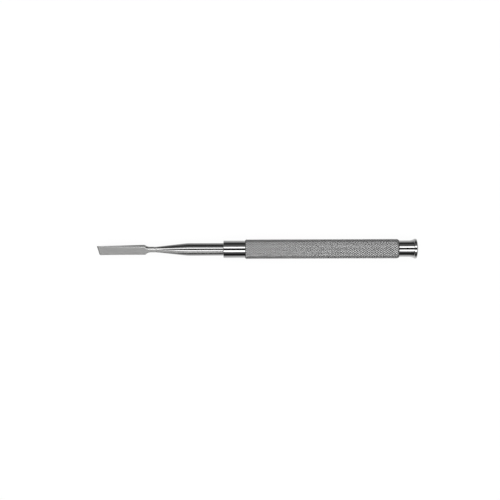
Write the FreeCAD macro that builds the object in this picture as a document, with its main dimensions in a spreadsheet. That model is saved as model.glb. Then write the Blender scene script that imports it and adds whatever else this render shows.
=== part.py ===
import FreeCAD, Part
import math
import os

import Sketcher

# Bone chisel, 170 mm long, lying on its side on the surface z = 0.
# The tool axis runs along X, from the cutting edge to the domed striking face.
# The origin is below the middle of the tool, on the surface that it lies on.
# Two pieces: a working end ground from a turned bar, and a turned, knurled handle.

doc = FreeCAD.newDocument("bone_chisel")
V = FreeCAD.Vector

# Driving sizes, in millimetres and degrees
SIZES = {
    # blade, ground from the round bar
    "blade_length": 24.5,
    "edge_width": 5.48,
    "heel_width": 4.93,
    "edge_thickness": 0.3,
    "edge_skew": 12.5,
    "bevel_length": 0.5,
    "edge_land": 0.05,
    "edge_face_height": 1.12,
    "face_run_out": 0.9,
    "back_run_out": 1.0,
    # neck, cone and shank, turned from the same bar
    "shoulder_radius": 4.0,
    "neck_diameter": 2.85,
    "neck_length": 3.7,
    "cone_length": 16.2,
    "shank_diameter": 6.6,
    "shank_length": 19.1,
    # tang, brazed into the handle
    "tang_diameter": 5.0,
    "tang_length": 9.0,
    "tang_chamfer": 0.4,
    "tang_gap": 0.02,
    "bore_spare": 0.4,
    "drill_point": 118.0,
    # handle, turned from one bar
    "collar_diameter": 9.15,
    "collar_length": 11.5,
    "collar_chamfer": 0.15,
    "grip_diameter": 10.2,
    "grip_length": 81.3,
    "grip_front_chamfer": 0.5,
    "grip_rear_chamfer": 0.9,
    "grip_end_lip": 0.08,
    "butt_diameter": 8.8,
    "butt_length": 5.36,
    "flare_length": 2.7,
    "rim_diameter": 10.5,
    "rim_width": 1.5,
    "rim_front_chamfer": 0.15,
    "rim_rear_chamfer": 0.5,
    "dome_height": 0.74,
    # diamond knurl: spacing and depth of the grooves, and their angle to the axis
    "knurl_pitch": 1.2,
    "knurl_depth": 0.4,
    "knurl_angle": 30.0,
    # turn of the blade about the tool axis, as the tool lies
    "roll_angle": 30.0,
}

# Places along the axis, radii and heights, all worked out from the driving sizes
PLACES = {
    "bar_radius": "sizes.shank_diameter / 2",
    "bar_clear": "sizes.shank_diameter",
    "neck_radius": "sizes.neck_diameter / 2",
    "tang_radius": "sizes.tang_diameter / 2",
    "tang_tip_radius": "sizes.tang_diameter / 2 - sizes.tang_chamfer",
    "bore_radius": "(sizes.tang_diameter + sizes.tang_gap) / 2",
    "collar_radius": "sizes.collar_diameter / 2",
    "collar_edge_radius": "sizes.collar_diameter / 2 - sizes.collar_chamfer",
    "groove_radius": "sizes.grip_diameter / 2 - sizes.knurl_depth",
    "core_radius": "(bore_radius + groove_radius) / 2",
    "butt_radius": "sizes.butt_diameter / 2",
    "rim_radius": "sizes.rim_diameter / 2",
    "rim_edge_radius": "sizes.rim_diameter / 2 - sizes.rim_front_chamfer",
    "face_edge_radius": "sizes.rim_diameter / 2 - sizes.rim_rear_chamfer",
    "shoulder_radius": "sizes.shoulder_radius",
    "shoulder_drop": "bar_radius - neck_radius",
    "shoulder_length": "sqrt(2 * shoulder_radius * shoulder_drop - shoulder_drop ^ 2)",
    "blade_end": "sizes.blade_length",
    "neck_at": "blade_end + shoulder_length",
    "cone_at": "neck_at + sizes.neck_length",
    "shank_at": "cone_at + sizes.cone_length",
    "collar_at": "shank_at + sizes.shank_length",
    "collar_edge_at": "collar_at + sizes.collar_chamfer",
    "tang_tip_at": "collar_at + sizes.tang_length - sizes.tang_chamfer",
    "tang_end": "collar_at + sizes.tang_length",
    "bore_end": "tang_end + sizes.bore_spare",
    "bore_tip": "bore_end + bore_radius / tan(sizes.drill_point / 2)",
    "grip_at": "collar_at + sizes.collar_length",
    "grip_middle": "grip_at + sizes.grip_length / 2",
    "butt_at": "grip_at + sizes.grip_length",
    "flare_at": "butt_at + sizes.butt_length",
    "rim_at": "flare_at + sizes.flare_length",
    "rim_edge_at": "rim_at + sizes.rim_front_chamfer",
    "face_edge_at": "rim_at + sizes.rim_width - sizes.rim_rear_chamfer",
    "face_at": "rim_at + sizes.rim_width",
    "overall_length": "face_at + sizes.dome_height",
    "flare_rise": "rim_edge_radius - butt_radius",
    "flare_arc": "(sizes.flare_length ^ 2 + flare_rise ^ 2) / (2 * flare_rise)",
    "dome_arc": "(face_edge_radius ^ 2 + sizes.dome_height ^ 2) / (2 * sizes.dome_height)",
    "edge_half": "sizes.edge_width / 2",
    "heel_half": "sizes.heel_width / 2",
    "edge_flare": "edge_half - heel_half",
    "side_arc": "(blade_end ^ 2 + edge_flare ^ 2) / (2 * edge_flare)",
    "face_edge_height": "sizes.edge_face_height",
    "face_rise": "(neck_radius - face_edge_height) / (neck_at - sizes.face_run_out)",
    "face_neck_height": "face_edge_height + face_rise * neck_at",
    "back_edge_height": "face_edge_height - sizes.edge_thickness",
    "edge_line_at": "edge_half * sin(sizes.edge_skew)",
    "land_height": "back_edge_height + sizes.edge_land",
    "bevel_top_at": "edge_line_at + 2 * sizes.bevel_length",
    "bevel_top_height": "land_height + 2 * (sizes.edge_thickness - sizes.edge_land)",
    "back_fall": "(back_edge_height + neck_radius) / (cone_at - sizes.back_run_out)",
    "back_neck_height": "back_edge_height - back_fall * cone_at",
}


def fill_sheet(name, rows):
    sheet = doc.addObject("Spreadsheet::Sheet", name)
    for row, (alias, content) in enumerate(rows.items(), start=1):
        sheet.set(f"A{row}", alias)
        sheet.set(f"B{row}", content)
        sheet.setAlias(f"B{row}", alias)
    return sheet


sizes = fill_sheet("sizes", {name: str(value) for name, value in SIZES.items()})
doc.recompute()
places = fill_sheet("places", {name: "=" + formula for name, formula in PLACES.items()})
doc.recompute()


def size(name):
    return float(sizes.get(name))


def place(name):
    """The value of a place, with a minus sign in front of its name for the other side."""
    if name == "0":
        return 0.0
    if name.startswith("-"):
        return -place(name[1:])
    return float(places.get(name))


def bound(name):
    """The same place as an expression, for a constraint to follow."""
    return "-places." + name[1:] if name.startswith("-") else "places." + name


def origin_plane(body, role):
    return next(item for item in body.Origin.OriginFeatures if item.Role == role)


def arc_between(start, end, radius, bulge_left):
    """The shorter arc of this radius from start to end, bulging to one side of the way along it."""
    middle = (start + end) / 2
    along = (end - start).normalize()
    left = V(-along.y, along.x, 0)
    inward = -1 if bulge_left else 1
    centre = middle + left * inward * math.sqrt(radius ** 2 - start.distanceToPoint(end) ** 2 / 4)
    circle = Part.Circle(centre, V(0, 0, 1), radius)
    first, last = (end, start) if bulge_left else (start, end)
    return Part.ArcOfCircle(circle, circle.parameter(first), circle.parameter(last))


def outline(body, name, role, corners, arcs=None, turn="0"):
    """A closed outline on a plane of the body. Its corners are pairs of places.

    arcs gives, for the side that leaves a corner, its radius and whether it bulges to the left.
    turn is the plane's angle about the outline's upward direction."""
    arcs = arcs or {}
    sketch = body.newObject("Sketcher::SketchObject", name)
    sketch.AttachmentSupport = [(origin_plane(body, role), "")]
    sketch.MapMode = "FlatFace"
    sketch.AttachmentOffset = FreeCAD.Placement(V(0, 0, 0), FreeCAD.Rotation(V(0, 1, 0), 1))
    sketch.setExpression("AttachmentOffset.Rotation.Angle", turn)
    points = [V(place(across), place(up), 0) for across, up in corners]
    ends = []
    for index, start in enumerate(points):
        end = points[(index + 1) % len(points)]
        if index in arcs:
            radius, bulge_left = arcs[index]
            sketch.addGeometry(arc_between(start, end, place(radius), bulge_left))
            ends.append((2, 1) if bulge_left else (1, 2))
        else:
            sketch.addGeometry(Part.LineSegment(start, end))
            ends.append((1, 2))
    for index in range(len(points)):
        following = (index + 1) % len(points)
        sketch.addConstraint(
            Sketcher.Constraint("Coincident", index, ends[index][1], following, ends[following][0])
        )
    for index, corner in enumerate(corners):
        for kind, axis, name_of_place in zip(("DistanceX", "DistanceY"), (-2, -1), corner):
            vertex = ends[index][0]
            if name_of_place == "0":
                sketch.addConstraint(Sketcher.Constraint("PointOnObject", index, vertex, axis))
                continue
            held = Sketcher.Constraint(kind, -1, 1, index, vertex, place(name_of_place))
            sketch.setExpression(f"Constraints[{sketch.addConstraint(held)}]", bound(name_of_place))
    for index, (radius, _) in arcs.items():
        held = Sketcher.Constraint("Radius", index, place(radius))
        sketch.setExpression(f"Constraints[{sketch.addConstraint(held)}]", bound(radius))
    return sketch


def revolved(body, name, sketch):
    feature = body.newObject("PartDesign::Revolution", name)
    feature.Profile = sketch
    feature.ReferenceAxis = (sketch, ["H_Axis"])
    feature.Angle = 360.0
    doc.recompute()
    return feature


def cut_across(body, name, sketch):
    """Cuts the outline out of the whole width of the bar, to both sides of the sketch."""
    feature = body.newObject("PartDesign::Pocket", name)
    feature.Profile = sketch
    feature.Type = "Length"
    feature.Midplane = True
    feature.setExpression("Length", "2 * places.bar_clear")
    before = body.Shape.Volume
    doc.recompute()
    if not feature.Shape.Volume < before:
        raise RuntimeError(f"{name} cuts nothing")
    return feature


def lay_down(piece, roll="0"):
    """Puts a piece on the tool axis, with the tool's middle above the origin, and turns it."""
    piece.setExpression("Placement.Base.x", "-places.overall_length / 2")
    piece.setExpression("Placement.Base.z", "places.rim_radius")
    piece.Placement.Rotation = FreeCAD.Rotation(V(1, 0, 0), 1)
    piece.setExpression("Placement.Rotation.Angle", roll)


# Working end: a round bar turned down to a neck, a cone and a tang, then ground flat

working_end = doc.addObject("PartDesign::Body", "working_end")
working_end.Label = "working_end"

revolved(
    working_end,
    "turned_bar",
    outline(
        working_end,
        "bar_profile",
        "XZ_Plane",
        [
            ("0", "0"),
            ("0", "bar_radius"),
            ("blade_end", "bar_radius"),
            ("neck_at", "neck_radius"),
            ("cone_at", "neck_radius"),
            ("shank_at", "bar_radius"),
            ("collar_at", "bar_radius"),
            ("collar_at", "tang_radius"),
            ("tang_tip_at", "tang_radius"),
            ("tang_end", "tang_tip_radius"),
            ("tang_end", "0"),
        ],
        arcs={2: ("shoulder_radius", False)},
    ),
)

# The face is flush with the neck, and the back slopes away from it as a wedge
cut_across(
    working_end,
    "face_flat",
    outline(
        working_end,
        "face_outline",
        "XZ_Plane",
        [
            ("0", "face_edge_height"),
            ("neck_at", "face_neck_height"),
            ("neck_at", "bar_clear"),
            ("0", "bar_clear"),
        ],
    ),
)
cut_across(
    working_end,
    "back_flat",
    outline(
        working_end,
        "back_outline",
        "XZ_Plane",
        [
            ("0", "back_edge_height"),
            ("0", "-bar_clear"),
            ("cone_at", "-bar_clear"),
            ("cone_at", "back_neck_height"),
        ],
    ),
)

# The sides flare a little towards the cutting edge
side_flat = cut_across(
    working_end,
    "side_flat",
    outline(
        working_end,
        "side_outline",
        "XY_Plane",
        [
            ("0", "edge_half"),
            ("blade_end", "heel_half"),
            ("neck_at", "heel_half"),
            ("neck_at", "bar_clear"),
            ("0", "bar_clear"),
        ],
        arcs={0: ("side_arc", False)},
    ),
)
other_side_flat = working_end.newObject("PartDesign::Mirrored", "other_side_flat")
other_side_flat.Originals = [side_flat]
other_side_flat.MirrorPlane = (origin_plane(working_end, "XZ_Plane"), [""])
working_end.Tip = other_side_flat
doc.recompute()

# The cutting edge is oblique, with its corner on the +Y side ahead, and the face has a short bevel to it.
# The outline lies square to the edge.
cut_across(
    working_end,
    "edge_cut",
    outline(
        working_end,
        "edge_outline",
        "XZ_Plane",
        [
            ("edge_line_at", "-bar_clear"),
            ("edge_line_at", "land_height"),
            ("bevel_top_at", "bevel_top_height"),
            ("bevel_top_at", "bar_clear"),
            ("-bar_clear", "bar_clear"),
            ("-bar_clear", "-bar_clear"),
        ],
        turn="sizes.edge_skew",
    ),
)
lay_down(working_end, "sizes.roll_angle")

# Handle: one bar, turned to a collar, a grip, a neck and a flared striking end.
# The turned profile runs through the grip as a core, and the knurled band goes round it.

turned_handle = doc.addObject("PartDesign::Body", "turned_handle")
turned_handle.Label = "turned_handle"
revolved(
    turned_handle,
    "turned_profile",
    outline(
        turned_handle,
        "handle_profile",
        "XZ_Plane",
        [
            ("collar_at", "bore_radius"),
            ("collar_at", "collar_edge_radius"),
            ("collar_edge_at", "collar_radius"),
            ("grip_at", "collar_radius"),
            ("grip_at", "core_radius"),
            ("butt_at", "core_radius"),
            ("butt_at", "butt_radius"),
            ("flare_at", "butt_radius"),
            ("rim_at", "rim_edge_radius"),
            ("rim_edge_at", "rim_radius"),
            ("face_edge_at", "rim_radius"),
            ("face_at", "face_edge_radius"),
            ("overall_length", "0"),
            ("bore_tip", "0"),
            ("bore_end", "bore_radius"),
        ],
        arcs={7: ("flare_arc", False), 11: ("dome_arc", True)},
    ),
)
lay_down(turned_handle)


def knurled_band():
    """The grip's diamond knurl: rings of points, by turns at a groove crossing and on a diamond's tip.

    Each diamond is four flat facets that rise from its grooves. Both ends are cut to a chamfer,
    which runs down to a flat end just larger than the collar."""
    length = size("grip_length")
    front = size("grip_front_chamfer")
    rear = size("grip_rear_chamfer")
    radius = size("grip_diameter") / 2
    groove_radius = place("groove_radius")
    end_radius = max(place("collar_radius"), place("butt_radius")) + size("grip_end_lip")
    angle = math.radians(size("knurl_angle"))
    starts = round(2 * math.pi * radius * math.cos(angle) / size("knurl_pitch"))
    rows = round((length - front - rear) * math.sin(angle) / size("knurl_pitch"))
    around = 2 * starts
    spacing = (length - front - rear) / (2 * rows)
    grip_at = place("grip_at")

    def ring(x, even_radius, odd_radius):
        points = []
        for step in range(around):
            turn = math.pi * step / starts
            reach = odd_radius if step % 2 else even_radius
            points.append(Part.Vertex(V(x, reach * math.cos(turn), reach * math.sin(turn))))
        return points

    rings = [ring(grip_at, end_radius, end_radius)]
    for row in range(2 * rows + 1):
        pair = (radius, groove_radius) if row % 2 else (groove_radius, radius)
        rings.append(ring(grip_at + front + row * spacing, *pair))
    rings.append(ring(grip_at + length, end_radius, end_radius))

    edges = {}
    faces = []

    def add_face(*corners):
        """Adds the flat face on these corners, with its outer side outward."""
        sides = []
        for side in zip(corners, corners[1:] + corners[:1]):
            low, high = sorted(side)
            if (low, high) not in edges:
                edges[low, high] = Part.Edge(rings[low[0]][low[1]], rings[high[0]][high[1]])
            sides.append(edges[low, high])
        face = Part.Face(Part.Wire(sides))
        centre = face.CenterOfMass
        is_end = len(corners) == around
        outward = V(centre.x - place("grip_middle"), 0, 0) if is_end else V(0, centre.y, centre.z)
        if face.normalAt(0, 0).dot(outward) < 0:
            face.reverse()
        faces.append(face)

    for row in range(len(rings) - 1):
        for step in range(around):
            near, near_next = (row, step), (row, (step + 1) % around)
            far, far_next = (row + 1, step), (row + 1, (step + 1) % around)
            if (row + step) % 2:
                add_face(near, near_next, far_next)
                add_face(near, far_next, far)
            else:
                add_face(near, near_next, far)
                add_face(near_next, far_next, far)
    for row in (0, len(rings) - 1):
        add_face(*[(row, step) for step in range(around)])
    return Part.Solid(Part.Shell(faces))


knurl = doc.addObject("Part::Feature", "knurl")
knurl.Shape = knurled_band()
lay_down(knurl)

handle = doc.addObject("Part::Fuse", "handle")
handle.Label = "handle"
handle.Base = turned_handle
handle.Tool = knurl
handle.Refine = False
doc.recompute()

# Every object is sound before anything is written
for item in doc.Objects:
    if "Invalid" in item.State or "Error" in item.State:
        raise RuntimeError(f"{item.Name} failed: {item.State}")

os.makedirs("parts", exist_ok=True)
for node in (working_end, handle):
    shape = node.Shape
    if shape.isNull() or not shape.isValid() or len(shape.Solids) != 1:
        raise RuntimeError(f"{node.Label} is not one sound solid")
for node in (working_end, handle):
    node.Shape.exportStep(f"parts/{node.Label}.step")
    print(node.Label, round(node.Shape.Volume, 1), node.Shape.BoundBox)
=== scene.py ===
import math

import bmesh
import bpy
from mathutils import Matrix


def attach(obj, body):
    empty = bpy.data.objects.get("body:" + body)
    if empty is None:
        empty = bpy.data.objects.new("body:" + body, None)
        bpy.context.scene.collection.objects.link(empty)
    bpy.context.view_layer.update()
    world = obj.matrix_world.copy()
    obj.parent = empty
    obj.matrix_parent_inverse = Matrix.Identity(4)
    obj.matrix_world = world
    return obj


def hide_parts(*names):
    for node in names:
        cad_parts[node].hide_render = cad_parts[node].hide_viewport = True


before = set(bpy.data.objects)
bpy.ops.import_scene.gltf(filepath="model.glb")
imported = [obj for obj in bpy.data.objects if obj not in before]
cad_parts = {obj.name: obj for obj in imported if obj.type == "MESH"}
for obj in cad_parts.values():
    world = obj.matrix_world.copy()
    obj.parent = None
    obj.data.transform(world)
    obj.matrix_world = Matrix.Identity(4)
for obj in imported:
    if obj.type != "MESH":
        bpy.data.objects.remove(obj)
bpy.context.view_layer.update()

# Working end: a round stainless bar, turned to a neck and a cone, and ground flat to a blade
# with an oblique cutting edge. It is brazed into the handle, and its shank seats on the collar.
# Lengths are in millimetres from the foremost corner of the cutting edge.
MM = 0.001
TOOL_HALF = 84.9944
AXIS_HEIGHT = 5.25
ROLL = math.radians(30.0)
BLADE_END = 24.5
EDGE_HALF, HEEL_HALF = 2.74, 2.465
EDGE_SKEW = math.tan(math.radians(12.5))
EDGE_CORNER = 0.35
EDGE_LAND = 0.05
BEVEL_LENGTH, BEVEL_RISE = 0.515, 0.25
FACE_HEIGHT, FACE_SLOPE = 1.12, 0.0113
BACK_HEIGHT, BACK_SLOPE = 0.82, -0.0734
SHOULDER_RADIUS = 4.0
SHOULDER_LAG, LAG_AT, LAG_REACH = 0.5, 25.5, 4.0
NECK_AT, CONE_AT, SHANK_AT, COLLAR_AT = 27.889, 31.589, 47.789, 66.889
NECK_RADIUS, SHANK_RADIUS = 1.5, 3.3
CONE_BLEND = 3.2
# Pairs of a place along the axis and the depth of the ground flat there, under the turned bar
FLAT_DEPTHS = ((27.0, 0.22), (32.0, 0.2), (36.0, 0.13), (41.0, 0.08), (46.0, 0.03), (68.0, 0.025))
CORNER_ROUNDING, NECK_ROUNDING = 0.2, 0.5
ROUNDING_GROWS = (22.0, 5.0)
THICKNESS_SHARE = 0.3
LEAST_DEPTH, SQUARE_WITHIN = 0.008, 0.14
SKEW_REACH = 9.0
OUTLINE_POINTS, ARC_STEPS = 128, 120
TURN_STEP = math.radians(1)
TURN_WEIGHT = 0.8


def bar_radius(x):
    """Radius of the turned bar. The cone runs softly into the neck and the shank."""
    slope = (SHANK_RADIUS - NECK_RADIUS) / (SHANK_AT - CONE_AT)

    def past(kink):
        if abs(x - kink) >= CONE_BLEND / 2:
            return max(x - kink, 0.0)
        return (x - kink + CONE_BLEND / 2) ** 2 / (2 * CONE_BLEND)

    radius = NECK_RADIUS + slope * (past(CONE_AT) - past(SHANK_AT))
    if x < NECK_AT:
        reach = min(NECK_AT - x, NECK_AT - BLADE_END)
        radius += SHOULDER_RADIUS - math.sqrt(SHOULDER_RADIUS ** 2 - reach ** 2)
    return radius


def face_height(x):
    """Height of the blade's face over the axis. A bevel drops from it to the cutting edge.

    Past the blade it runs on as a flat that grows shallower along the neck, cone and shank."""
    if x < BEVEL_LENGTH:
        return BACK_HEIGHT + EDGE_LAND + BEVEL_RISE * x / BEVEL_LENGTH
    depth = FLAT_DEPTHS[0][1]
    for (start, first), (end, last) in zip(FLAT_DEPTHS, FLAT_DEPTHS[1:]):
        if x > start:
            depth = first + (last - first) * (x - start) / (end - start)
    level = FACE_HEIGHT + FACE_SLOPE * x if x < NECK_AT else SHANK_RADIUS
    return min(level, bar_radius(x) - depth)


def back_height(x):
    """Height of the blade's back, which runs out where the cone begins."""
    return BACK_HEIGHT + BACK_SLOPE * x if x < CONE_AT else -SHANK_RADIUS


def half_width(x):
    """Half of the blade's width. Its sides flare towards the cutting edge."""
    if x > NECK_AT:
        return SHANK_RADIUS
    return HEEL_HALF + (EDGE_HALF - HEEL_HALF) * (max(BLADE_END - x, 0) / BLADE_END) ** 2


def ground_outline(x, rounding):
    """The bar's outline at x: a circle, cut by the face, the sides and the back, its corners rounded.

    One half is followed by the direction that it faces, from straight up to straight down,
    and is mirrored. Its points share out both the distance and the turning."""
    radius = bar_radius(x) - rounding
    top = face_height(x) - rounding
    bottom = max(back_height(x) + rounding, -radius)
    side = min(half_width(x) - rounding, radius)

    def reach(level):
        return math.sqrt(max(radius ** 2 - level ** 2, 0))

    def round_part(start, end):
        first, last = math.atan2(*start), math.atan2(*end)
        turns = [first + (last - first) * step / ARC_STEPS for step in range(ARC_STEPS + 1)]
        return [(radius * math.cos(turn), radius * math.sin(turn)) for turn in turns]

    inner = [(0.0, top)]
    if reach(top) < side:
        inner += round_part((top, reach(top)), (reach(side), side))
    else:
        inner.append((side, top))
    if reach(bottom) < side:
        inner += round_part((-reach(side), side), (bottom, reach(bottom)))
    else:
        inner.append((side, bottom))
    inner.append((0.0, bottom))
    moved_on = [math.dist(before, here) > 1e-6 for before, here in zip(inner, inner[1:])]
    inner = inner[:1] + [here for here, keep in zip(inner[1:], moved_on) if keep]

    outer = [(0.0, top + rounding, math.pi / 2)]
    for before, here in zip(inner, inner[1:]):
        facing = math.atan2(here[1] - before[1], here[0] - before[0]) + math.pi / 2
        last = outer[-1][2]
        turn = (last - facing) % (2 * math.pi)
        turn = turn if turn < math.pi else 0.0
        steps = max(1, math.ceil(turn / TURN_STEP))
        spots = [(before, last - turn * step / steps) for step in range(steps + 1)] + [(here, facing)]
        for (y, z), angle in spots:
            outer.append((y + rounding * math.cos(angle), z + rounding * math.sin(angle), angle))
    outer.append((0.0, outer[-1][1], -math.pi / 2))

    measure = [0.0]
    for (y0, z0, turn0), (y1, z1, turn1) in zip(outer, outer[1:]):
        length = math.hypot(y1 - y0, z1 - z0) + TURN_WEIGHT * abs(turn1 - turn0)
        measure.append(measure[-1] + length)
    half = []
    index = 0
    for step in range(OUTLINE_POINTS // 2 + 1):
        wanted = measure[-1] * step / (OUTLINE_POINTS // 2)
        while index < len(measure) - 2 and measure[index + 1] < wanted:
            index += 1
        span = measure[index + 1] - measure[index]
        share = (wanted - measure[index]) / span if span > 1e-12 else 0.0
        (y0, z0, _), (y1, z1, _) = outer[index], outer[index + 1]
        half.append((y0 + (y1 - y0) * share, z0 + (z1 - z0) * share))
    return half + [(-y, z) for y, z in half[-2:0:-1]]


def along(*runs):
    """Places along the axis: each run is its start, its end and the number of steps in it."""
    found = []
    for start, end, steps in runs:
        found += [start + (end - start) * step / steps for step in range(steps)]
    return found + [runs[-1][1]]


blade_mesh = bmesh.new()
rings = []
ground = []
places = along(
    (0, 0.03, 1), (0.03, 0.5, 4), (0.5, 0.53, 1), (0.53, 0.56, 1), (0.56, 24.3, 60),
    (24.3, 28.3, 64), (28.3, 30.2, 10), (30.2, 35.0, 30), (35.0, 46.0, 30),
    (46.0, 50.0, 16), (50.0, COLLAR_AT + 0.05, 30),
)
for x in places:
    thickness = face_height(x) - max(back_height(x), -bar_radius(x))
    on_neck = min(max((x - ROUNDING_GROWS[0]) / ROUNDING_GROWS[1], 0.0), 1.0)
    rounding = CORNER_ROUNDING + (NECK_ROUNDING - CORNER_ROUNDING) * on_neck
    outline = ground_outline(x, min(rounding, THICKNESS_SHARE * thickness))
    skewing = max(0.0, 1 - x / SKEW_REACH) ** 2
    lagging = max(0.0, 1 - ((x - LAG_AT) / LAG_REACH) ** 2)
    ring = []
    for y, z in outline:
        moved = x + lagging * SHOULDER_LAG * (HEEL_HALF - y) / (2 * HEEL_HALF)
        if skewing:
            # The blade is sheared back to its oblique edge, and each point stays on its flat
            from_corner = min(max(EDGE_CORNER - EDGE_HALF - y, 0), EDGE_CORNER)
            cut_back = EDGE_CORNER - math.sqrt(EDGE_CORNER ** 2 - from_corner ** 2)
            moved = x + skewing * ((EDGE_HALF - y) * EDGE_SKEW + cut_back)
            share = (z - back_height(x)) / (face_height(x) - back_height(x))
            face_there = face_height(x) + FACE_SLOPE * (moved - x)
            z = back_height(moved) + share * (face_there - back_height(moved))
        ring.append(
            blade_mesh.verts.new(
                (
                    (moved - TOOL_HALF) * MM,
                    (y * math.cos(ROLL) - z * math.sin(ROLL)) * MM,
                    (y * math.sin(ROLL) + z * math.cos(ROLL) + AXIS_HEIGHT) * MM,
                )
            )
        )
    rings.append(ring)
    # Ground are the faces that lie under the turned bar and square to the face, back or sides
    flats = []
    for (y0, z0), (y1, z1) in zip(outline, outline[1:] + outline[:1]):
        depth = bar_radius(x) - math.hypot((y0 + y1) / 2, (z0 + z1) / 2)
        square = abs(math.sin(2 * math.atan2(z1 - z0, y1 - y0))) < SQUARE_WITHIN
        flats.append(depth > LEAST_DEPTH and square and x > BEVEL_LENGTH)
    ground.append(flats)
for near, far, flats in zip(rings, rings[1:], ground):
    for step in range(OUTLINE_POINTS):
        following = (step + 1) % OUTLINE_POINTS
        face = blade_mesh.faces.new((near[step], near[following], far[following], far[step]))
        face.smooth = True
        face.material_index = 0 if flats[step] else 1
blade_mesh.faces.new(rings[0])
blade_mesh.faces.new(rings[-1])
bmesh.ops.recalc_face_normals(blade_mesh, faces=blade_mesh.faces)
blade_data = bpy.data.meshes.new("ground_working_end")
blade_mesh.to_mesh(blade_data)
blade_mesh.free()
blade = bpy.data.objects.new("ground_working_end", blade_data)
bpy.context.collection.objects.link(blade)


def add_node(tree, kind, inputs=None, **settings):
    """Adds a node to a tree. Each input gets a value, or is linked to another node's output."""
    node = tree.nodes.new("ShaderNode" + kind)
    for name, value in settings.items():
        setattr(node, name, value)
    for socket, value in (inputs or {}).items():
        if isinstance(value, bpy.types.NodeSocket):
            tree.links.new(value, node.inputs[socket])
        else:
            node.inputs[socket].default_value = value
    return node


# Lines that a grinding wheel or a lathe leaves: noise, drawn out along the lines and fine across them
tool_lines = bpy.data.node_groups.new("tool_lines", "ShaderNodeTree")
tool_lines.interface.new_socket("Per Metre", in_out="INPUT", socket_type="NodeSocketVector")
tool_lines.interface.new_socket("Lines", in_out="OUTPUT", socket_type="NodeSocketFloat")
given = tool_lines.nodes.new("NodeGroupInput")
place = add_node(tool_lines, "TexCoord")
drawn_out = add_node(
    tool_lines,
    "VectorMath",
    {0: place.outputs["Object"], 1: given.outputs["Per Metre"]},
    operation="MULTIPLY",
)
noise = add_node(
    tool_lines,
    "TexNoise",
    {"Vector": drawn_out.outputs["Vector"], "Scale": 1.0, "Detail": 3.0, "Roughness": 0.6},
)
spread = add_node(
    tool_lines, "MapRange", {"Value": noise.outputs["Fac"], "From Min": 0.3, "From Max": 0.7}
)
put_out = tool_lines.nodes.new("NodeGroupOutput")
tool_lines.links.new(spread.outputs["Result"], put_out.inputs["Lines"])

# Marks of hands and cloths: soft patches where the metal is a little duller
handling = bpy.data.node_groups.new("handling", "ShaderNodeTree")
handling.interface.new_socket("Per Metre", in_out="INPUT", socket_type="NodeSocketFloat")
handling.interface.new_socket("Patches", in_out="OUTPUT", socket_type="NodeSocketFloat")
given = handling.nodes.new("NodeGroupInput")
place = add_node(handling, "TexCoord")
noise = add_node(
    handling,
    "TexNoise",
    {
        "Vector": place.outputs["Object"],
        "Scale": given.outputs["Per Metre"],
        "Detail": 4.0,
        "Distortion": 0.4,
    },
)
patches = add_node(
    handling,
    "MapRange",
    {"Value": noise.outputs["Fac"], "From Min": 0.42, "From Max": 0.66},
    interpolation_type="SMOOTHSTEP",
)
put_out = handling.nodes.new("NodeGroupOutput")
handling.links.new(patches.outputs["Result"], put_out.inputs["Patches"])


def mixed_colour(tree, share, first, second):
    """A colour between two, by a share from 0 to 1. The first may be another node's output."""
    mix = add_node(tree, "Mix", data_type="RGBA")
    tree.links.new(share, mix.inputs["Factor"])
    if isinstance(first, bpy.types.NodeSocket):
        tree.links.new(first, mix.inputs["A"])
    else:
        mix.inputs["A"].default_value = (*first, 1)
    mix.inputs["B"].default_value = (*second, 1)
    return mix.outputs["Result"]


def between(tree, share, low, high):
    """A value between two, by a share from 0 to 1."""
    return add_node(tree, "MapRange", {"Value": share, "To Min": low, "To Max": high}).outputs["Result"]


# The flats are ground along the blade, so their gloss is drawn out across it
ground_steel = bpy.data.materials.new("ground_steel")
ground_steel.use_nodes = True
tree = ground_steel.node_tree
shader = tree.nodes["Principled BSDF"]
fine_lines = add_node(tree, "Group", {}, node_tree=tool_lines)
fine_lines.inputs["Per Metre"].default_value = (90, 6500, 6500)
broad_lines = add_node(tree, "Group", {}, node_tree=tool_lines)
broad_lines.inputs["Per Metre"].default_value = (25, 1400, 1400)
marks = add_node(tree, "Group", {"Per Metre": 160.0}, node_tree=handling)
colour = mixed_colour(tree, broad_lines.outputs["Lines"], (0.77, 0.77, 0.76), (0.84, 0.84, 0.83))
tree.links.new(colour, shader.inputs["Base Color"])
shader.inputs["Metallic"].default_value = 1.0
shader.inputs["Anisotropic"].default_value = 0.7
rough = add_node(
    tree,
    "Math",
    {
        0: between(tree, fine_lines.outputs["Lines"], 0.43, 0.53),
        1: between(tree, marks.outputs["Patches"], 0.0, 0.05),
    },
    operation="ADD",
)
tree.links.new(rough.outputs[0], shader.inputs["Roughness"])
surface = add_node(tree, "NewGeometry")
across = add_node(
    tree, "VectorMath", {0: surface.outputs["Normal"], 1: (1, 0, 0)}, operation="CROSS_PRODUCT"
)
tree.links.new(across.outputs["Vector"], shader.inputs["Tangent"])
relief = add_node(tree, "Bump", {"Height": fine_lines.outputs["Lines"], "Distance": 0.000003})
tree.links.new(relief.outputs["Normal"], shader.inputs["Normal"])
blade_data.materials.append(ground_steel)

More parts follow.
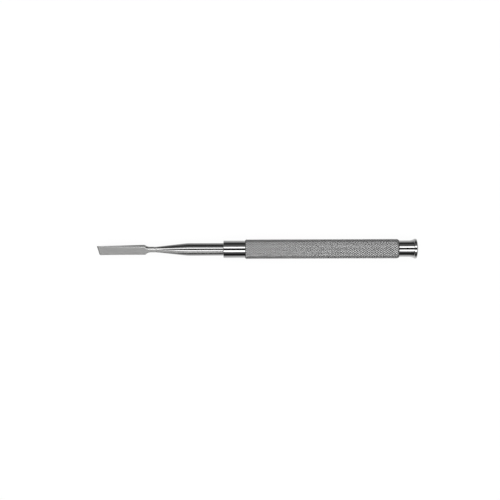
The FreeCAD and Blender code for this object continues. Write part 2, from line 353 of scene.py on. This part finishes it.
# The neck, the cone and the shank keep the lathe's fine rings under a light polish. The neck's colour
# is a painted highlight, brighter than the cone's and the shank's and fading along the cone
NECK_HIGHLIGHT_LENGTH = 7.0
turned_steel = bpy.data.materials.new("turned_steel")
turned_steel.use_nodes = True
tree = turned_steel.node_tree
shader = tree.nodes["Principled BSDF"]
lathe_rings = add_node(tree, "Group", {}, node_tree=tool_lines)
lathe_rings.inputs["Per Metre"].default_value = (6000, 60, 60)
marks = add_node(tree, "Group", {"Per Metre": 200.0}, node_tree=handling)
colour = mixed_colour(tree, lathe_rings.outputs["Lines"], (0.54, 0.54, 0.54), (0.59, 0.59, 0.59))
place = add_node(tree, "TexCoord")
split = add_node(tree, "SeparateXYZ", {0: place.outputs["Object"]})
# Painted highlight: the neck's metal is made brighter, fading out over the cone's first millimetres
neck_highlight = add_node(
    tree,
    "MapRange",
    {
        "Value": split.outputs["X"],
        "From Min": (CONE_AT - TOOL_HALF) * MM,
        "From Max": (CONE_AT + NECK_HIGHLIGHT_LENGTH - TOOL_HALF) * MM,
        "To Min": 1.0,
        "To Max": 0.0,
    },
)
colour = mixed_colour(tree, neck_highlight.outputs["Result"], colour, (0.94, 0.94, 0.93))
tree.links.new(colour, shader.inputs["Base Color"])
shader.inputs["Metallic"].default_value = 1.0
rough = add_node(
    tree,
    "Math",
    {
        0: between(tree, lathe_rings.outputs["Lines"], 0.09, 0.13),
        1: between(tree, marks.outputs["Patches"], 0.0, 0.03),
    },
    operation="ADD",
)
tree.links.new(rough.outputs[0], shader.inputs["Roughness"])
relief = add_node(tree, "Bump", {"Height": lathe_rings.outputs["Lines"], "Distance": 0.0000015})
tree.links.new(relief.outputs["Normal"], shader.inputs["Normal"])
blade_data.materials.append(turned_steel)

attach(blade, "root")
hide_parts("working_end")

# Handle: one stainless bar, turned to a plain collar, a grip, a neck and a flared striking end.
# The grip is rolled with a diamond knurl and cut to a chamfer at both ends. The plain parts
# are polished.
GRIP_AT, GRIP_END = 78.389, 159.689
FLARE_AT, RIM_AT, FACE_AT = 165.049, 167.749, 169.249
COLLAR_RADIUS, GRIP_RADIUS, BUTT_RADIUS, RIM_RADIUS = 4.575, 5.2, 4.4, 5.25
RIM_EDGE, FACE_ROUND, DOME_HEIGHT = 0.15, 0.6, 0.74
KNURL_STARTS = 28
KNURL_PERIOD = 1.63
KNURL_DEPTH = 0.26
KNURL_PLACES = (0.0, 0.21, 0.4, 0.6, 0.79)
KNURL_HEIGHTS = (0.0, 0.58, 1.0, 1.0, 0.58)
FRONT_CHAMFER, REAR_CHAMFER = 0.5, 0.9
GRIP_END_RADIUS, GRIP_END_INSIDE = 4.66, 4.3
AROUND = 160


def add_turned(mesh, profile):
    """Adds the surface that a profile of (place, radius) pairs sweeps round the tool axis."""
    rings = []
    for x, radius in profile:
        ring = []
        for step in range(AROUND):
            turn = 2 * math.pi * step / AROUND
            ring.append(
                mesh.verts.new(
                    (
                        (x - TOOL_HALF) * MM,
                        radius * math.cos(turn) * MM,
                        (radius * math.sin(turn) + AXIS_HEIGHT) * MM,
                    )
                )
            )
        rings.append(ring)
    for near, far in zip(rings, rings[1:]):
        for step in range(AROUND):
            following = (step + 1) % AROUND
            face = mesh.faces.new((near[step], near[following], far[following], far[step]))
            face.smooth = True
    return rings


def rounded_corner(centre, radius, start, end, steps=6):
    """Points round a corner of this radius, from one angle to another."""
    angles = [math.radians(start + (end - start) * step / steps) for step in range(steps + 1)]
    return [
        (centre[0] + radius * math.cos(angle), centre[1] + radius * math.sin(angle)) for angle in angles
    ]


handle_mesh = bmesh.new()
collar_profile = [(COLLAR_AT, 3.1), (COLLAR_AT, 3.6), (COLLAR_AT, 4.2)]
collar_profile += rounded_corner((COLLAR_AT + 0.15, COLLAR_RADIUS - 0.15), 0.15, 180, 90)
collar_profile += [(x, COLLAR_RADIUS) for x in along((COLLAR_AT + 0.4, GRIP_AT + 0.1, 10))]
add_turned(handle_mesh, collar_profile)

flare_length, flare_rise = RIM_AT - FLARE_AT, RIM_RADIUS - RIM_EDGE - BUTT_RADIUS
flare_arc = (flare_length ** 2 + flare_rise ** 2) / (2 * flare_rise)
dome_edge = RIM_RADIUS - FACE_ROUND
dome_arc = (dome_edge ** 2 + DOME_HEIGHT ** 2) / (2 * DOME_HEIGHT)
butt_profile = [(x, BUTT_RADIUS) for x in along((GRIP_END - 0.1, FLARE_AT, 8))]
for step in range(1, 17):
    x = flare_length * step / 16
    butt_profile.append((FLARE_AT + x, BUTT_RADIUS + flare_arc - math.sqrt(flare_arc ** 2 - x ** 2)))
butt_profile += rounded_corner((RIM_AT + 0.3, RIM_RADIUS - 0.6), 0.6, 116, 90)
butt_profile += rounded_corner((FACE_AT - FACE_ROUND, RIM_RADIUS - FACE_ROUND), FACE_ROUND, 90, 16, 14)
for step in range(2, 24):
    radius = dome_edge * (1 - step / 24)
    height = DOME_HEIGHT - dome_arc + math.sqrt(dome_arc ** 2 - radius ** 2)
    butt_profile.append((FACE_AT + height, radius))
rings = add_turned(handle_mesh, butt_profile)
face_middle = handle_mesh.verts.new(((FACE_AT + DOME_HEIGHT - TOOL_HALF) * MM, 0, AXIS_HEIGHT * MM))
for step in range(AROUND):
    face = handle_mesh.faces.new((rings[-1][step], rings[-1][(step + 1) % AROUND], face_middle))
    face.smooth = True

# The knurl: diamonds with rounded tips between two sets of sharp grooves that cross
lines = len(KNURL_PLACES)
lines_round = lines * KNURL_STARTS
first = math.floor(-0.6 * 2 / KNURL_PERIOD) * lines
last = math.ceil((GRIP_END - GRIP_AT + 0.6) * 2 / KNURL_PERIOD) * lines
knurl_mesh = bmesh.new()
knurl_points = {}


def knurl_point(a, b):
    """The point where line a of one set of groove edges meets line b of the other."""
    if b >= lines_round:
        a, b = a - lines_round, b - lines_round
    if (a, b) not in knurl_points:
        u = a // lines + KNURL_PLACES[a % lines]
        v = b // lines + KNURL_PLACES[b % lines]
        height = min(KNURL_HEIGHTS[a % lines], KNURL_HEIGHTS[b % lines])
        radius = GRIP_RADIUS - KNURL_DEPTH * (1 - height)
        turn = math.pi * (u + v) / KNURL_STARTS
        knurl_points[a, b] = knurl_mesh.verts.new(
            (GRIP_AT + (u - v) * KNURL_PERIOD / 2, radius * math.cos(turn), radius * math.sin(turn))
        )
    return knurl_points[a, b]


for b in range(lines_round):
    for a in range(b + first, b + last):
        corners = [
            knurl_point(a, b), knurl_point(a + 1, b), knurl_point(a + 1, b + 1), knurl_point(a, b + 1)
        ]
        if a % lines == b % lines:
            knurl_mesh.faces.new(corners[:3])
            knurl_mesh.faces.new((corners[0], corners[2], corners[3]))
        elif a % lines + b % lines == lines - 1:
            knurl_mesh.faces.new(corners[1:])
            knurl_mesh.faces.new((corners[1], corners[3], corners[0]))
        else:
            knurl_mesh.faces.new(corners)
for face in knurl_mesh.faces:
    face.smooth = True
for edge in knurl_mesh.edges:
    if all(math.hypot(vert.co.y, vert.co.z) < GRIP_RADIUS - KNURL_DEPTH + 0.001 for vert in edge.verts):
        edge.smooth = False

for x, outward in ((GRIP_AT, -1), (GRIP_END, 1)):
    bmesh.ops.bisect_plane(
        knurl_mesh,
        geom=knurl_mesh.verts[:] + knurl_mesh.edges[:] + knurl_mesh.faces[:],
        plane_co=(x, 0, 0),
        plane_no=(outward, 0, 0),
        clear_outer=True,
    )
for x in (
    GRIP_AT + FRONT_CHAMFER,
    GRIP_AT + FRONT_CHAMFER / 2,
    GRIP_END - REAR_CHAMFER,
    GRIP_END - REAR_CHAMFER / 2,
):
    bmesh.ops.bisect_plane(
        knurl_mesh,
        geom=knurl_mesh.verts[:] + knurl_mesh.edges[:] + knurl_mesh.faces[:],
        plane_co=(x, 0, 0),
        plane_no=(1, 0, 0),
    )
for vert in knurl_mesh.verts:
    x, y, z = vert.co
    radius = math.hypot(y, z)
    limit = min(
        GRIP_END_RADIUS + (x - GRIP_AT) / FRONT_CHAMFER * (GRIP_RADIUS - GRIP_END_RADIUS),
        GRIP_END_RADIUS + (GRIP_END - x) / REAR_CHAMFER * (GRIP_RADIUS - GRIP_END_RADIUS),
    )
    scale = min(radius, limit) / radius
    vert.co = ((x - TOOL_HALF) * MM, y * scale * MM, (z * scale + AXIS_HEIGHT) * MM)
for x in (GRIP_AT, GRIP_END):
    end_edges = [edge for edge in knurl_mesh.edges
                 if edge.is_boundary and abs(edge.verts[0].co.x - (x - TOOL_HALF) * MM) < 1e-6]
    for vert in bmesh.ops.extrude_edge_only(knurl_mesh, edges=end_edges)["geom"]:
        if isinstance(vert, bmesh.types.BMVert):
            y, z = vert.co.y, vert.co.z - AXIS_HEIGHT * MM
            scale = GRIP_END_INSIDE * MM / math.hypot(y, z)
            vert.co = (vert.co.x, y * scale, z * scale + AXIS_HEIGHT * MM)
for face in knurl_mesh.faces:
    face.material_index = 1
bmesh.ops.recalc_face_normals(knurl_mesh, faces=knurl_mesh.faces)
bmesh.ops.recalc_face_normals(handle_mesh, faces=handle_mesh.faces)
knurl_data = bpy.data.meshes.new("knurl")
knurl_mesh.to_mesh(knurl_data)
knurl_mesh.free()
handle_mesh.from_mesh(knurl_data)
bpy.data.meshes.remove(knurl_data)

handle_data = bpy.data.meshes.new("knurled_handle")
handle_mesh.to_mesh(handle_data)
handle_mesh.free()
handle = bpy.data.objects.new("knurled_handle", handle_data)
bpy.context.collection.objects.link(handle)

# The collar and the striking end have a mirror polish, with traces of the lathe and of hands
polished_steel = bpy.data.materials.new("polished_steel")
polished_steel.use_nodes = True
tree = polished_steel.node_tree
shader = tree.nodes["Principled BSDF"]
lathe_rings = add_node(tree, "Group", {}, node_tree=tool_lines)
lathe_rings.inputs["Per Metre"].default_value = (4500, 50, 50)
marks = add_node(tree, "Group", {"Per Metre": 170.0}, node_tree=handling)
colour = mixed_colour(tree, lathe_rings.outputs["Lines"], (0.67, 0.67, 0.67), (0.71, 0.71, 0.71))
tree.links.new(colour, shader.inputs["Base Color"])
shader.inputs["Metallic"].default_value = 1.0
rough = add_node(
    tree,
    "Math",
    {
        0: between(tree, lathe_rings.outputs["Lines"], 0.03, 0.06),
        1: between(tree, marks.outputs["Patches"], 0.0, 0.05),
    },
    operation="ADD",
)
tree.links.new(rough.outputs[0], shader.inputs["Roughness"])
relief = add_node(tree, "Bump", {"Height": lathe_rings.outputs["Lines"], "Distance": 0.0000004})
tree.links.new(relief.outputs["Normal"], shader.inputs["Normal"])
handle_data.materials.append(polished_steel)

# The knurl's colour is painted: painted shade down in its grooves and a painted highlight on its tips,
# by the distance from the axis. Its tips, which hands have worn, are also smoother than its grooves.
knurled_steel = bpy.data.materials.new("knurled_steel")
knurled_steel.use_nodes = True
tree = knurled_steel.node_tree
shader = tree.nodes["Principled BSDF"]
place = add_node(tree, "TexCoord")
from_axis = add_node(
    tree,
    "VectorMath",
    {0: place.outputs["Object"], 1: (0, 1, 1), 2: (0, 0, -AXIS_HEIGHT * MM)},
    operation="MULTIPLY_ADD",
)
out_from_axis = add_node(tree, "VectorMath", {0: from_axis.outputs["Vector"]}, operation="LENGTH")
# Painted shade and highlight: this mask runs from the groove bottoms to the tips, and darkens the
# grooves' colour and brightens the tips'
painted_shade_and_gloss_mask = add_node(
    tree,
    "MapRange",
    {
        "Value": out_from_axis.outputs["Value"],
        "From Min": (GRIP_RADIUS - KNURL_DEPTH) * MM,
        "From Max": (GRIP_RADIUS - 0.33 * KNURL_DEPTH) * MM,
    },
    interpolation_type="SMOOTHSTEP",
)
grain = add_node(
    tree,
    "TexNoise",
    {"Vector": place.outputs["Object"], "Scale": 1500.0, "Detail": 3.0, "Roughness": 0.6},
)
marks = add_node(tree, "Group", {"Per Metre": 110.0}, node_tree=handling)
# Painted shade in the grooves and a painted highlight on the tips
metal = mixed_colour(tree, painted_shade_and_gloss_mask.outputs["Result"], (0.17, 0.17, 0.17), (0.97, 0.97, 0.97))
speckle = between(tree, grain.outputs["Fac"], 0.5, 1.5)
speckled = add_node(tree, "VectorMath", {0: metal, 1: speckle}, operation="MULTIPLY")
tree.links.new(speckled.outputs["Vector"], shader.inputs["Base Color"])
shader.inputs["Metallic"].default_value = 1.0
rough = add_node(
    tree,
    "Math",
    {
        0: between(tree, painted_shade_and_gloss_mask.outputs["Result"], 0.46, 0.36),
        1: between(tree, marks.outputs["Patches"], -0.02, 0.04),
    },
    operation="ADD",
)
tree.links.new(rough.outputs[0], shader.inputs["Roughness"])
relief = add_node(tree, "Bump", {"Height": grain.outputs["Fac"], "Distance": 0.000012})
tree.links.new(relief.outputs["Normal"], shader.inputs["Normal"])
handle_data.materials.append(knurled_steel)

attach(handle, "root")
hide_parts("handle")

# Table: plain and white. Its light part is what the camera sees, and shows in the polished metal close
# to the tool as a painted pool of light, and its matt part keeps the tool's soft shadow.
bpy.ops.mesh.primitive_plane_add(size=12, location=(0, 0, 0))
table = bpy.context.object
table.name = "table"
table_white = bpy.data.materials.new("table_white")
table_white.use_nodes = True
tree = table_white.node_tree
tree.nodes.remove(tree.nodes["Principled BSDF"])
matt = add_node(tree, "BsdfDiffuse", {"Color": (0.1, 0.1, 0.1, 1)})
rays = add_node(tree, "LightPath")
place = add_node(tree, "TexCoord")
# Painted pool of light for the metal: the table's glow in reflections fades with the distance from a
# middle set a little to one side of the tool, which paints shade on the other side near the tool
from_tool = add_node(
    tree,
    "VectorMath",
    {0: place.outputs["Object"], 1: (0.3, 1, 0), 2: (-0.012, 0.004, 0)},
    operation="MULTIPLY_ADD",
)
distance = add_node(tree, "VectorMath", {0: from_tool.outputs["Vector"]}, operation="LENGTH")
painted_light_pool = add_node(
    tree,
    "MapRange",
    {"Value": distance.outputs["Value"], "From Max": 0.045, "To Min": 0.85, "To Max": 0.12},
    interpolation_type="SMOOTHSTEP",
)
reflected = add_node(
    tree,
    "Math",
    {0: rays.outputs["Is Glossy Ray"], 1: rays.outputs["Is Transmission Ray"]},
    operation="MAXIMUM",
)
in_metal = add_node(
    tree, "Math", {0: reflected.outputs[0], 1: painted_light_pool.outputs["Result"]}, operation="MULTIPLY"
)
seen = add_node(tree, "Math", {0: rays.outputs["Is Camera Ray"], 1: 0.94}, operation="MULTIPLY")
strength = add_node(tree, "Math", {0: in_metal.outputs[0], 1: seen.outputs[0]}, operation="MAXIMUM")
glow = add_node(tree, "Emission", {"Strength": strength.outputs[0]})
both = add_node(tree, "AddShader", {0: matt.outputs[0], 1: glow.outputs[0]})
tree.links.new(both.outputs[0], tree.nodes["Material Output"].inputs["Surface"])
table.data.materials.append(table_white)

# Lamps: two long soft boxes over the tool, side by side, with a gap between them for the camera.
# A lamp looks as bright as white at 4 watts for each square metre.
LAMP_LEVEL = 1.45
for side, middle, width in ((-1, 0.367, 0.358), (1, 0.315, 0.282)):
    lamp_data = bpy.data.lights.new("soft_box", "AREA")
    lamp_data.shape = "RECTANGLE"
    lamp_data.size = 2.0
    lamp_data.size_y = width
    lamp_data.energy = 4 * LAMP_LEVEL * lamp_data.size * width
    lamp = bpy.data.objects.new("soft_box", lamp_data)
    lamp.location = (0, side * middle, 0.75)
    lamp.visible_camera = False
    bpy.context.collection.objects.link(lamp)

# Tent: dark cloth round the table and the lamps, lighter higher up and hung lower on one side.
# It shows in the metal only, and gives matt things an even light from all sides.
TENT_HEIGHT, TENT_HALF, TENT_LENGTH = 0.95, 0.6, 1.2
tent_mesh = bmesh.new()
levels = []
for z in (0.0, 0.1, 0.3, 0.5, 0.85, TENT_HEIGHT):
    levels.append(
        [
            tent_mesh.verts.new((x * TENT_LENGTH, y * TENT_HALF, z))
            for x, y in ((-1, -1), (1, -1), (1, 1), (-1, 1))
        ]
    )
for low, high in zip(levels, levels[1:]):
    for step in range(4):
        following = (step + 1) % 4
        tent_mesh.faces.new((low[step], low[following], high[following], high[step]))
tent_mesh.faces.new(levels[-1])
tent_data = bpy.data.meshes.new("tent")
tent_mesh.to_mesh(tent_data)
tent_mesh.free()
tent = bpy.data.objects.new("tent", tent_data)
bpy.context.collection.objects.link(tent)
tent.visible_camera = False
tent_cloth = bpy.data.materials.new("tent_cloth")
tent_cloth.use_nodes = True
tree = tent_cloth.node_tree
tree.nodes.remove(tree.nodes["Principled BSDF"])
place = add_node(tree, "TexCoord")
split = add_node(tree, "SeparateXYZ", {0: place.outputs["Object"]})
lowered = add_node(
    tree,
    "MapRange",
    {
        "Value": split.outputs["Y"],
        "From Min": -TENT_HALF,
        "From Max": 0.05 - TENT_HALF,
        "To Min": -0.1,
        "To Max": 0.0,
    },
)
up_cloth = add_node(tree, "Math", {0: split.outputs["Z"], 1: lowered.outputs["Result"]}, operation="ADD")
shade = add_node(tree, "ValToRGB", {"Fac": up_cloth.outputs[0]})
shade.color_ramp.elements[0].position = 0.1
shade.color_ramp.elements[0].color = (0.006, 0.006, 0.006, 1)
shade.color_ramp.elements[1].position = 0.94
shade.color_ramp.elements[1].color = (0.01, 0.01, 0.01, 1)
for height, grey in ((0.3, 0.075), (0.5, 0.12), (0.85, 0.2)):
    element = shade.color_ramp.elements.new(height)
    element.color = (grey, grey, grey, 1)
rays = add_node(tree, "LightPath")
for_matt = between(tree, rays.outputs["Is Diffuse Ray"], 1.0, 4.0)
glow = add_node(tree, "Emission", {"Color": shade.outputs["Color"], "Strength": for_matt})
tree.links.new(glow.outputs[0], tree.nodes["Material Output"].inputs["Surface"])
tent_data.materials.append(tent_cloth)

# World: white behind the table
world = bpy.data.worlds.new("studio")
bpy.context.scene.world = world
world.use_nodes = True
tree = world.node_tree
rays = add_node(tree, "LightPath")
seen = add_node(
    tree,
    "Math",
    {0: rays.outputs["Is Camera Ray"], 1: rays.outputs["Is Glossy Ray"]},
    operation="MAXIMUM",
)
also = add_node(
    tree, "Math", {0: seen.outputs[0], 1: rays.outputs["Is Transmission Ray"]}, operation="MAXIMUM"
)
tree.nodes["Background"].inputs["Color"].default_value = (1, 1, 1, 1)
tree.links.new(between(tree, also.outputs[0], 0.5, 1.0), tree.nodes["Background"].inputs["Strength"])

bpy.context.scene.view_settings.view_transform = "Standard"

# Camera: straight above the table, with a long lens
camera_data = bpy.data.cameras.new("camera")
camera_data.lens = 100
camera_data.sensor_width = 36
camera = bpy.data.objects.new("camera", camera_data)
camera.location = (-4.08 * MM, -0.42 * MM, 0.736 + AXIS_HEIGHT * MM)
camera.rotation_euler = (0, 0, math.radians(-0.2))
bpy.context.collection.objects.link(camera)
bpy.context.scene.camera = camera
